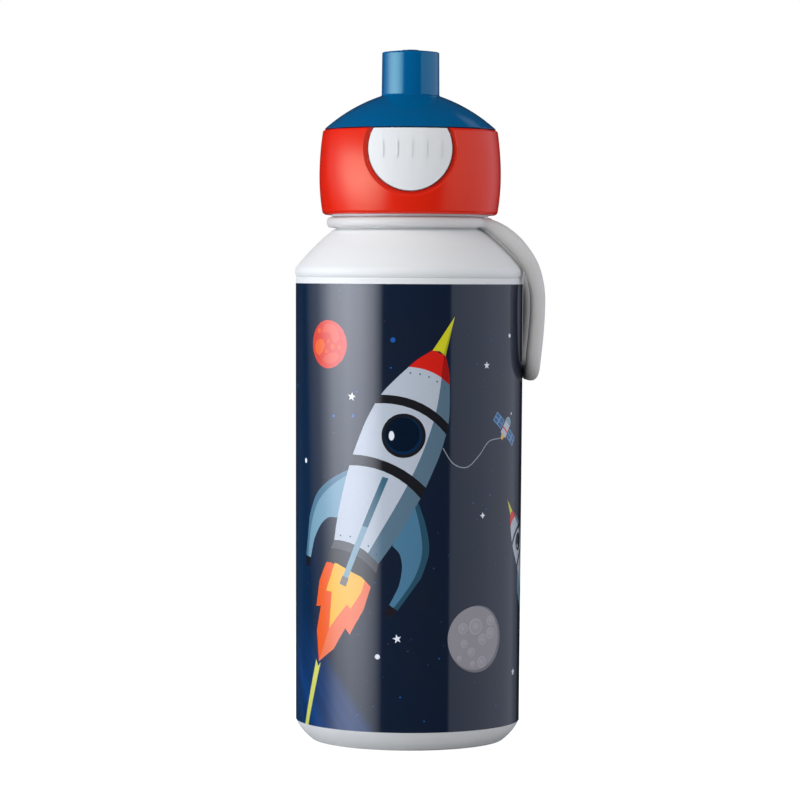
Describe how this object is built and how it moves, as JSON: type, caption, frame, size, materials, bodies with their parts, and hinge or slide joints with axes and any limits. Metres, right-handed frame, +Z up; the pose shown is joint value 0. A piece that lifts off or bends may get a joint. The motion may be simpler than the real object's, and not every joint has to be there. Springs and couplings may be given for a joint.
{
  "type": "kids water bottle",
  "caption": "Screw-top drinking bottle for children with a printed sleeve, a carrying loop and a push-button lid whose domed hood flips back from a soft spout.",
  "frame": {"origin": "centre of the flat foot, on the surface that the bottle stands on", "axes": "+Z up along the bottle's axis, -Y towards the button (the front), +X towards the side where the carrying loop hangs"},
  "size_m": [0.0743, 0.068, 0.2042],
  "materials": {
    "bottle_white": "smooth satin-gloss white polypropylene",
    "sleeve_print": "glossy printed in-mould film, night sky with a rocket",
    "strap_rubber": "matt warm-white thermoplastic rubber",
    "collar_red": "satin red polypropylene",
    "insert_white": "satin white polypropylene",
    "button_white": "satin white plastic",
    "hood_blue": "satin-gloss blue polypropylene",
    "silicone": "soft translucent silicone",
    "steel": "stainless steel wire and pin",
    "acetal": "natural acetal"
  },
  "bodies": {
    "root": {"bottle_cup": "bottle_white", "printed_film": "sleeve_print", "shoulder_neck": "bottle_white"},
    "strap_ring": {"strap_ring": "strap_rubber"},
    "strap_loop": {"strap_loop": "strap_rubber"},
    "lid": {"lid_collar": "collar_red", "thread_insert": "insert_white", "drinking_spout": "silicone", "vent_valve": "silicone", "latch_spring": "acetal", "hinge_pin": "steel", "hinge_spring": "steel"},
    "lid_lift": {"lid_seal": "silicone"},
    "button": {"push_button": "button_white"},
    "hood": {"hood": "hood_blue", "spout_stopper": "silicone"}
  },
  "joints": [
    {"name": "strap_swivel", "type": "hinge", "parent": "root", "child": "strap_ring", "pos_m": [0, 0, 0.1532], "axis": [0, 0, 1], "continuous": true},
    {"name": "strap_flex", "type": "hinge", "parent": "strap_ring", "child": "strap_loop", "pos_m": [0.02692, 0.00212, 0.15], "axis": [0.0785, -0.9969, 0], "range_deg": [0, 75]},
    {"name": "lid_lift", "type": "slide", "parent": "root", "child": "lid_lift", "axis": [0, 0, 1], "range_m": [0, 0.008]},
    {"name": "lid_turn", "type": "hinge", "parent": "lid_lift", "child": "lid", "pos_m": [0, 0, 0.15545], "axis": [0, 0, 1], "range_deg": [0, 720]},
    {"name": "button_press", "type": "slide", "parent": "lid", "child": "button", "axis": [0, 1, 0], "range_m": [0, 0.0013], "stiffness_N_per_m": 2500, "deforming": ["latch_spring"]},
    {"name": "hood_hinge", "type": "hinge", "parent": "lid", "child": "hood", "pos_m": [0, 0.0255, 0.181], "axis": [-1, 0, 0], "range_deg": [0, 115], "deforming": ["latch_spring", "hinge_spring"]}
  ],
  "couplings": [
    {"joint": "lid_lift", "follows": "lid_turn", "m_per_rad": 0.00063662}
  ]
}
